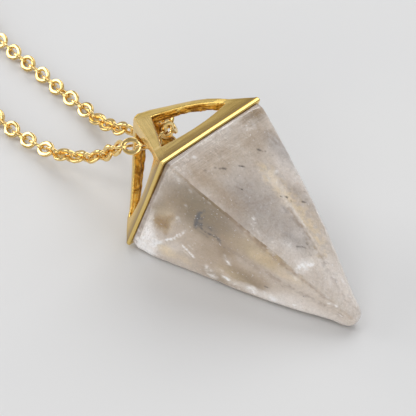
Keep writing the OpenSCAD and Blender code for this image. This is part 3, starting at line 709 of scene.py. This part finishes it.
def pyramid(p, inset=0.0, k=0.16):
    x, v, z = p[..., 0], p[..., 1], p[..., 2]
    w = cap_w(z)
    wc = np.maximum(w, 0.3)
    bow = {c: np.interp(APEX_Z - z, ridge_z, ridge[c]) * 0.7071 for c in "ABCD"}
    tx = np.clip((x + wc) / (2 * wc), 0, 1)
    tv = np.clip((v + wc) / (2 * wc), 0, 1)
    top = v - (w - inset + bow["B"] * (1 - tx) + bow["A"] * tx)
    bot = -v - (w - inset + bow["C"] * (1 - tx) + bow["D"] * tx)
    rgt = x - (w - inset + bow["D"] * (1 - tv) + bow["A"] * tv)
    lft = -x - (w - inset + bow["C"] * (1 - tv) + bow["B"] * tv)
    return smax(smax(top, bot, k), smax(rgt, lft, k), k) * CB


def bow_side(d):
    return np.interp(d * math.cos(SL), ridge_z, ridge["A"])


def window(p, face):
    """Negative inside the opening of one face; p is local."""
    x, v, z = p[..., 0], p[..., 1], p[..., 2]
    if face == "AB":
        u, l, top, half, bl, br = x, v, WIN_TOP + 0.05, WIN_HALF, False, True
    elif face == "BC":
        u, l, top, half, bl, br = v, -x, WIN_TOP - 0.8, WIN_HALF + 0.1, False, False
    elif face == "CD":
        u, l, top, half, bl, br = -x, -v, WIN_TOP - 0.3, WIN_HALF, False, False
    else:
        u, l, top, half, bl, br = -v, x, WIN_TOP - 0.3, WIN_HALF, True, False
    d = l * math.sin(SL) + (APEX_Z - z) * math.cos(SL)
    n = l * math.cos(SL) - (APEX_Z - z) * math.sin(SL)
    k = half / (WIN_SILL - top)
    cg = 1 / math.sqrt(1 + k * k)
    r_side = (u - (d - top) * k - (bow_side(d) * 0.62 if br else 0)) * cg
    l_side = (-u - (d - top) * k - (bow_side(d) * 0.62 if bl else 0)) * cg
    sill = (d - (WIN_SILL + (-0.45 if face == "AB" else 0.25) + WIN_SAG * 0.72 * (1 - np.clip(np.abs(u) / half, 0, 1) ** 2))) * 0.98
    ends = np.abs(u) - half - 0.05
    hole = smax(smax(r_side, l_side, 0.35), smax(sill, ends, 0.5), 0.35)
    return smax(hole, -(n + 2.6), 0.02)


# beads of metal left on the rough walls of the windows: x, v, a, radius
CAST_BEADS = [(3.86, 4.6, 32.0, 0.17)]


def cap_field(p, full=False):
    x, v, z = p[..., 0], p[..., 1], p[..., 2]
    sq = smax(np.abs(x), np.abs(v), 0.22)
    outer = smax(pyramid(p), sq - RIM_HALF, 0.05)
    outer = smax(outer, z - APEX_Z + 0.02, 0.15)
    outer = smax(outer, RIM_Z - z, 0.2)
    rough_in = (fbm(p, 1.6, 5, 3) - 0.5) * 0.22
    hollow = smax(pyramid(p, WALL / math.cos(SL), 0.4) + rough_in * 0.6, SEAT_TOP + GAP - 0.25 - z, 0.1)
    pocket = smax(np.maximum(np.abs(x), np.abs(v)) - SEAT - GAP, z - SEAT_TOP - GAP, 0.03)
    inside = np.minimum(hollow, pocket)
    holes = None
    for face in ("AB", "BC", "CD", "DA"):
        h = window(p, face)
        holes = h if holes is None else np.minimum(holes, h)
    # the window walls are rough as cast below a clean lip
    depth = smooth(0.12, 0.5, -outer)
    holes = holes + rough_in * 0.75 * depth
    for bx, bv, bz, br in CAST_BEADS:
        bead = np.sqrt((x - bx) ** 2 + (v - bv) ** 2 + (z - bz) ** 2) - br
        holes = smax(holes, -bead, 0.1)
    f = smax(outer, -inside, 0.1)
    f = smax(f, -holes, 0.22)
    if full:
        return f, outer, inside, holes
    return f


def surface_net(field, lo, hi, h):
    """Quads on the zero level of a field, each vertex moved onto the level."""
    ax = [np.arange(lo[k], hi[k] + h, h) for k in range(3)]
    g = np.stack(np.meshgrid(*ax, indexing="ij"), -1)
    val = np.empty(g.shape[:3])
    for i in range(0, g.shape[0], 24):
        val[i:i + 24] = field(g[i:i + 24])
    s = val < 0
    n = np.array(val.shape) - 1
    acc = np.zeros((*n, 3))
    cnt = np.zeros(n)
    corners = [(i, j, k) for i in (0, 1) for j in (0, 1) for k in (0, 1)]

    def sub(a, c):
        return a[c[0]:c[0] + n[0], c[1]:c[1] + n[1], c[2]:c[2] + n[2]]

    for axis in range(3):
        for c in corners:
            if c[axis]:
                continue
            e = list(c)
            e[axis] = 1
            va, vb = sub(val, c), sub(val, tuple(e))
            cross = (va < 0) != (vb < 0)
            t = np.where(cross, va / np.where(cross, va - vb, 1), 0)
            pos = [np.full(n, float(c[m])) for m in range(3)]
            pos[axis] = t
            for m in range(3):
                acc[..., m] += np.where(cross, pos[m], 0)
            cnt += cross
    live = cnt > 0
    index = np.full(n, -1, np.int64)
    index[live] = np.arange(live.sum())
    ijk = np.argwhere(live)
    verts = np.array(lo) + (ijk + acc[live] / cnt[live][:, None]) * h
    quads = []
    for axis in range(3):
        o = [m for m in range(3) if m != axis]
        a0 = [slice(None)] * 3
        a1 = [slice(None)] * 3
        a0[axis] = slice(0, -1)
        a1[axis] = slice(1, None)
        sa, sb = s[tuple(a0)], s[tuple(a1)]
        cross = sa != sb
        e = np.argwhere(cross)
        ok = (e[:, o[0]] > 0) & (e[:, o[1]] > 0) & (e[:, o[0]] < n[o[0]]) & (e[:, o[1]] < n[o[1]])
        e = e[ok]
        flip = sa[tuple(e.T)]
        q = []
        for d0, d1 in ((-1, -1), (0, -1), (0, 0), (-1, 0)):
            c = e.copy()
            c[:, o[0]] += d0
            c[:, o[1]] += d1
            q.append(index[tuple(c.T)])
        q = np.stack(q, -1)
        if axis == 1:
            flip = ~flip
        q[~flip] = q[~flip][:, ::-1]
        quads.append(q)
    quads = np.concatenate(quads)
    for _ in range(3):
        f0 = field(verts)
        grad = np.stack([(field(verts + d) - field(verts - d)) / 0.02
                         for d in (np.eye(3) * 0.01)], -1)
        step = f0[:, None] * grad / np.maximum((grad ** 2).sum(1), 0.2)[:, None]
        verts = verts - np.clip(step, -h * 0.4, h * 0.4)
    return verts, quads


H = 0.1
cap_v, cap_q = surface_net(cap_field, (-9.4, -9.4, RIM_Z - 0.4), (9.4, 9.4, APEX_Z + 0.4), H)
_, outer_d, inside_d, holes_d = cap_field(cap_v, True)
cap = make("cap_body", row(askew(cap_v)), [tuple(q) for q in cap_q.tolist()])
paint(cap, "inner", smooth(0.06, 0.2, -outer_d))
paint(cap, "depth", -outer_d)
up_sill = cap_v[:, 2] - CONE_Z
lo_, hi_ = np.sort(np.abs(cap_v[:, :2]), axis=1).T
on_bar = (hi_ - lo_) < up_sill * 1.1
turn_ = 11.0 * (np.abs(cap_v[:, 0]) > np.abs(cap_v[:, 1])) + 23.0 * (cap_v[:, 0] > 0) * on_bar
paint(cap, "across", np.where(on_bar, hi_ - lo_, up_sill + 3.0) + turn_)
paint(cap, "along", np.where(on_bar, up_sill, np.where(hi_ == np.abs(cap_v[:, 0]), cap_v[:, 1], cap_v[:, 0])))
paint(cap, "rim", (1 - smooth(-0.06, 0.04, up_sill)) * (outer_d > -0.05) * smooth(RIM_Z + 0.06, RIM_Z + 0.14, cap_v[:, 2]) * 0.9)
# painted shade: a dark band just above the rim on every face, standing in for the darker reflection there
paint(cap, "rim_painted_shade", smooth(0.0, 0.08, up_sill) * (1 - smooth(0.0, 1.3, up_sill)) * (outer_d > -0.05) * 0.95)
# painted shade: the broad band under the window on the upper side is darkened, more so towards its far corner, standing
# in for the darker reflection it takes there
sill_painted_shade = (cap_v[:, 1] > np.abs(cap_v[:, 0]) - 0.1) * (1 - smooth(1.6, 2.4, up_sill)) * (outer_d > -0.05) * (up_sill > 0.0)
paint(cap, "sill_painted_shade", sill_painted_shade * (0.55 + 0.45 * smooth(-1.0, 7.5, cap_v[:, 0])))
cap.data.materials.append(GOLD_CAP)

# ------------------------------------------------------------------ the chain
route = [
    [35.95, 229.67, 0.93], [37.4, 229.35, 0.86], [42, 227.4, 0.85], [49.5, 222, 0.85], [56, 213, 0.85], [60.4, 201, 0.85],
    [62, 187, 0.85], [61, 172, 0.85], [57.4, 157, 0.85], [52, 142.5, 0.85], [45, 129, 0.85],
    [37, 116, 0.85], [29, 103.6, 0.85], [21.4, 91.4, 0.85], [13.4, 80, 0.85], [9.1, 70.2, 0.85],
    [8.35, 66.2, 0.85], [7.9, 62.9, 0.85], [7.5, 59.8, 0.85], [6.95, 56.7, 0.87], [6.5, 53.6, 0.95],
    [6.0, 50.5, 1.1], [5.4, 47.9, 1.4], [5.0, 45.5, 1.95], [4.65, 42.9, 3.0], [4.55, 40.7, 4.1], [4.55, 38.9, 5.35], [4.5, 37.4, 6.8], [4.45, 36.2, 8.0],
    [4.25, 34.85, 8.85], [3.5, 33.55, 9.3], [2.1, 33.1, 9.75], [0.6, 32.85, 9.9], [-0.9, 32.7, 9.85],
    [-2.4, 32.85, 9.95], [-3.3, 33.6, 10.1], [-3.4, 35.2, 9.1], [-3.1, 36.8, 7.6], [-2.8, 38.9, 5.4],
    [-2.9, 40.9, 3.95], [-3.05, 42.8, 3.0], [-3.45, 45.1, 2.2], [-3.5, 47.9, 1.5], [-3.45, 51.1, 1.05],
    [-3.25, 54.3, 0.9], [-2.7, 58.4, 0.85], [-1.6, 64, 0.85], [-0.9, 72, 0.85], [-1.6, 83.5, 0.85],
    [-4.6, 96, 0.85], [-8.8, 109.6, 0.85], [-13.6, 124, 0.85], [-17.8, 139, 0.85], [-20.4, 154, 0.85],
    [-21, 169, 0.85], [-19, 184, 0.85], [-14, 198, 0.85], [-6.4, 210.4, 0.85], [3, 220.4, 0.85],
    [13, 227, 0.85], [19, 229.4, 0.85], [23.6, 230.6, 0.86], [24.97, 230.72, 0.9]]
LINK_L, LINK_W, BAND, SIDE_BAND, THICK, PITCH = 2.50, 2.10, 0.47, 0.57, 0.33, 1.59
fine_path, total = hermite(route, 9000)
fine_s = np.linspace(0, total, 9000)


def length_at(x, y):
    return fine_s[np.argmin(np.hypot(fine_path[:, 0] - x, fine_path[:, 1] - y))]


# links that face the camera in the photograph: a place on the route, and the links from the last one
SEEN = [(7.49, 59.8, 0), (5.97, 50.36, 6), (5.37, 47.73, 2), (5.01, 45.54, 2), (4.66, 43.03, 2),
        (2.1, 33.1, 8), (-3.35, 33.7, 4), (-3.05, 42.77, 8), (-3.46, 45.16, 2), (-3.5, 47.95, 2),
        (-3.45, 51.1, 2)]
at_seen = [length_at(x, y) for x, y, _ in SEEN]
s_one, s_win, s_ring, s_two = at_seen[0], at_seen[5], at_seen[6], at_seen[-1]
before, after = round(s_one / PITCH), round((total - s_two) / PITCH)
spots = [np.linspace(0, s_one, before + 1)]
for k in range(1, len(SEEN)):
    spots.append(np.linspace(at_seen[k - 1], at_seen[k], SEEN[k][2] + 1)[1:])
spots = np.concatenate(spots + [np.linspace(s_two, total, after + 1)[1:]])
facing = (np.arange(len(spots)) - before) % 2 == 0
count = len(spots)
s_spin = length_at(5.4, 47.9), length_at(-3.05, 42.8)
centres = np.stack([np.interp(spots, fine_s, fine_path[:, k]) for k in range(3)], -1)
centres[:, 2] += 0.04
tang = np.gradient(centres, axis=0)  # along the chain, link by link
tang /= np.linalg.norm(tang, axis=1)[:, None]
PSI_N, SEC = 28, 12
psi = np.arange(PSI_N) * 2 * math.pi / PSI_N
quarter = [(1.0, 0.45), (0.93, 0.84), (0.74, 1.0)]
sec = (quarter + [(-p, q) for p, q in reversed(quarter)] + [(-p, -q) for p, q in quarter]
       + [(p, -q) for p, q in reversed(quarter)])
link_pts = []
for q in psi:
    nrm = np.array([math.cos(q) / LINK_L, math.sin(q) / LINK_W])
    nrm /= np.linalg.norm(nrm)
    band = BAND + (SIDE_BAND - BAND) * math.sin(q) ** 2
    c = np.array([LINK_L / 2 * math.cos(q), LINK_W / 2 * math.sin(q)]) - nrm * band / 2
    for s0, s1 in sec:
        o = c + nrm * s0 * band / 2
        link_pts.append((o[0], o[1], s1 * THICK / 2))
link_pts = np.array(link_pts)
link_faces = []
for i in range(PSI_N):
    for j in range(SEC):
        i2, j2 = (i + 1) % PSI_N, (j + 1) % SEC
        link_faces.append((i * SEC + j, i2 * SEC + j, i2 * SEC + j2, i * SEC + j2))


def slant(s):
    """The slack by the cap lets the links roll half a turn of the eye, save where two show face on."""
    up_ = smooth(at_seen[1] - 1, at_seen[2] + 1, s) * (1 - smooth(at_seen[4] + 1, s_win - 1.2, s))
    down = smooth(s_ring + 1.2, s_ring + 3.4, s) * (1 - smooth(at_seen[8] - 1, at_seen[9] + 1, s))
    return 38.0 * float(up_) - 38.0 * float(down)


rng = np.random.default_rng(7)
BACK = np.array(back)
RIGHT = np.cross([0, 0, 1.0], BACK) / np.linalg.norm(BACK[:2])
ring_a = int(np.argmin(np.abs(spots - s_win)))
chain_v, chain_f = [], []
for i in range(count):
    t = tang[i]
    side = np.cross(t, [0, 0, 1.0])
    if np.linalg.norm(side) < 1e-3:
        side = np.array([1.0, 0, 0])
    side /= np.linalg.norm(side)
    upv = np.cross(side, t)
    # on the ground the links lean 45 degrees each way; up at the cap they hang turned to the front
    open_ = BACK - BACK.dot(t) * t
    face_phi = math.degrees(math.atan2(np.cross(open_, t).dot(upv), np.cross(open_, t).dot(side)))
    aloft = float(smooth(s_spin[0] - 6, s_spin[0] + 2, spots[i]) * (1 - smooth(s_spin[1] - 1, s_spin[1] + 6, spots[i])))
    ground = 45 if spots[i] > s_ring else -45
    lean = (face_phi - ground + 90) % 180 - 90
    phi = math.radians(ground + lean * aloft + (0 if facing[i] else 90)
                       + slant(spots[i]) + rng.normal(0, 4 + 5 * aloft) + (-35 if i == ring_a - 1 else 0))
    s = math.cos(phi) * side + math.sin(phi) * upv
    yaw = math.radians(rng.normal(0, 3))
    tt = t * math.cos(yaw) + s * math.sin(yaw)
    s = s * math.cos(yaw) - t * math.sin(yaw)
    nn = np.cross(tt, s)
    if i == ring_a:
        # the link seen in the cap's upper window stands across the others
        nn = 0.62 * BACK + 0.78 * RIGHT
        tt = t - nn * t.dot(nn) / nn.dot(nn)
        tt /= np.linalg.norm(tt)
        s = np.cross(nn, tt) / np.linalg.norm(nn)
        nn = np.cross(tt, s)
    pts = link_pts[:, :1] * tt + link_pts[:, 1:2] * s + link_pts[:, 2:3] * nn + centres[i]
    low = pts[:, 2].min()
    if low < 0.01:
        pts[:, 2] += 0.01 - low
    base = len(chain_v) * len(link_pts)
    chain_v.append(pts)
    chain_f += [tuple(base + k for k in f) for f in link_faces]
chain = make("chain_links", flat(np.concatenate(chain_v)), chain_f)
chain.data.materials.append(GOLD_CHAIN)

# ------------------------------------------------------------------ the clasp
def tube(path, radius, closed=False, squash=1.0, n=20):
    """A round bar along a path of (u, w, z) points; squash flattens it in z."""
    path = np.asarray(path, float)
    m = len(path)
    radius = np.broadcast_to(np.asarray(radius, float), (m,))
    if closed:
        d = np.roll(path, -1, 0) - np.roll(path, 1, 0)
    else:
        d = np.gradient(path, axis=0)
    d /= np.linalg.norm(d, axis=1)[:, None]
    ref = np.array([0, 0, 1.0]) if np.abs(d[:, 2]).max() < 0.9 else np.array([0, 1.0, 0])
    b = np.cross(d, ref)
    b /= np.linalg.norm(b, axis=1)[:, None]
    c = np.cross(b, d)
    q = np.arange(n) * 2 * math.pi / n
    v = (path[:, None] + radius[:, None, None] * (np.cos(q)[None, :, None] * b[:, None]
         + squash * np.sin(q)[None, :, None] * c[:, None])).reshape(-1, 3)
    f = [(i * n + k, i * n + (k + 1) % n, ((i + 1) % m) * n + (k + 1) % n, ((i + 1) % m) * n + k)
         for i in range(m if closed else m - 1) for k in range(n)]
    if not closed:
        f += [tuple(range(n - 1, -1, -1)), tuple((m - 1) * n + k for k in range(n))]
    return v, f


def domed(path, r, **kw):
    """An open bar with rounded ends."""
    path = np.asarray(path, float)
    s = np.concatenate([[0], np.cumsum(np.linalg.norm(np.diff(path, axis=0), axis=1))])
    k = np.unique(np.concatenate([np.linspace(0, r, 7) ** 2 / r, np.linspace(r, s[-1] - r, 24),
                                  s[-1] - np.linspace(0, r, 7) ** 2 / r]))
    pts = np.stack([np.interp(k, s, path[:, j]) for j in range(3)], -1)
    e = np.minimum(k, s[-1] - k)
    return tube(pts, np.maximum(r * np.sqrt(np.clip(1 - (1 - np.clip(e / r, 0, 1)) ** 2, 0, 1)), 0.02), **kw)


t = np.linspace(0, 2 * math.pi, 144, endpoint=False)
thick = 0.47 + 0.22 * smooth(-0.2, 0.9, np.sin(t)) + 0.20 * smooth(0.55, 1.0, -np.cos(t)) - 0.1 * smooth(0.6, 1.0, np.cos(t))
for at in (-2.25, -0.42):
    gone = (t - at + math.pi) % (2 * math.pi) - math.pi
    thick = thick - 0.17 * np.exp(-(gone / 0.035) ** 2)
parts = [
    tube(np.stack([-0.1 + 3.15 * np.cos(t), 1.55 * np.sin(t) * (1 + 0.14 * np.cos(t)), 0.9 + 0 * t], -1), thick, True),
    tube(np.stack([-4.15 + 0.85 * np.cos(t), 0.78 * np.sin(t), 0.9 + 0 * t], -1), 0.27, True, 1.0, 14),
    tube(np.stack([4.05 + 1.02 * np.cos(t), 0.72 * np.sin(t), 0.95 + 0.5 * np.sin(t)], -1), 0.23, True, 1.0, 14),
    domed([(-2.05, -1.28, 0.12), (-2.05, -1.28, 1.68)], 0.34),
    domed([(-1.62, -1.45, 0.9), (-1.75, -1.95, 0.9), (-2.1, -2.28, 0.9)], 0.30, squash=1.5),
]
clasp_v, clasp_f = [], []
for v, f in parts:
    base = sum(len(x) for x in clasp_v)
    clasp_v.append(v)
    clasp_f += [tuple(base + k for k in q) for q in f]
clasp_v = np.concatenate(clasp_v)
ang = math.radians(-5.5)
clasp_v = np.stack([30.4 + clasp_v[:, 0] * math.cos(ang) - clasp_v[:, 1] * math.sin(ang),
                    230.2 + clasp_v[:, 0] * math.sin(ang) + clasp_v[:, 1] * math.cos(ang), clasp_v[:, 2]], -1)
clasp = make("clasp_body", flat(clasp_v), clasp_f)
clasp.data.materials.append(GOLD_CHAIN)

# ------------------------------------------------------------------ stage, lights
floor = make("floor", [(-3, -3, 0), (3, -3, 0), (3, 3, 0), (-3, 3, 0)], [(0, 1, 2, 3)], False)
fm = Nodes("floor_paint")
fn = fm.noise(fm.coord(), 40.0, 3.0, 0.5)
fm.link(fm.ramp(fn, [(0.3, (0.715, 0.715, 0.715)), (0.7, (0.725, 0.725, 0.72))]), fm.bsdf.inputs["Base Color"])
set_in(fm.bsdf, rough=0.7, spec=0.3)
floor.data.materials.append(fm.mat)

world = bpy.data.worlds.new("studio")
world.use_nodes = True
world.node_tree.nodes["Background"].inputs["Color"].default_value = (0.86, 0.87, 0.9, 1)
world.node_tree.nodes["Background"].inputs["Strength"].default_value = 0.42
bpy.context.scene.world = world


def area(name, target, direction, dist, size, power, colour=(1, 1, 1), size_y=None):
    data = bpy.data.lights.new(name, "AREA")
    data.energy = power
    data.color = colour
    data.size = size
    if size_y:
        data.shape = "RECTANGLE"
        data.size_y = size_y
    obj = bpy.data.objects.new(name, data)
    bpy.context.scene.collection.objects.link(obj)
    d = Vector(direction).normalized()
    obj.location = Vector(target) + d * dist
    obj.rotation_mode = "QUATERNION"
    obj.rotation_quaternion = d.to_track_quat("Z", "Y")
    obj.visible_camera = False
    return obj


heart = Vector(row((0, 0, 22)))
area("key", heart, (0.587, 0.24, 0.77), 1.0, 0.98, 5.4)
area("fill", heart, (-0.80, -0.50, 0.38), 0.9, 0.6, 2.5, (1.0, 0.965, 0.92))
area("back", heart, (-0.30, 0.90, 0.36), 0.9, 0.5, 2.6)
area("top", heart, (-0.43, 0.29, 0.856), 1.0, 0.4, 1.1)
area("side", heart, (0.50, 0.85, 0.16), 1.1, 0.5, 0.20)
area("front", heart, (-0.3, -0.9, 0.9), 1.1, 0.8, 0.6)

# ------------------------------------------------------------------ who stands for what
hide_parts("crystal")
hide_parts("cap")
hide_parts("chain")
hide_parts("clasp")
for obj, slot in ((crystal, "crystal"), (cap, "gold"), (chain, "chain_gold"), (clasp, "chain_gold")):
    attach(obj, "root")
scene = bpy.context.scene
scene.view_settings.view_transform = "Standard"
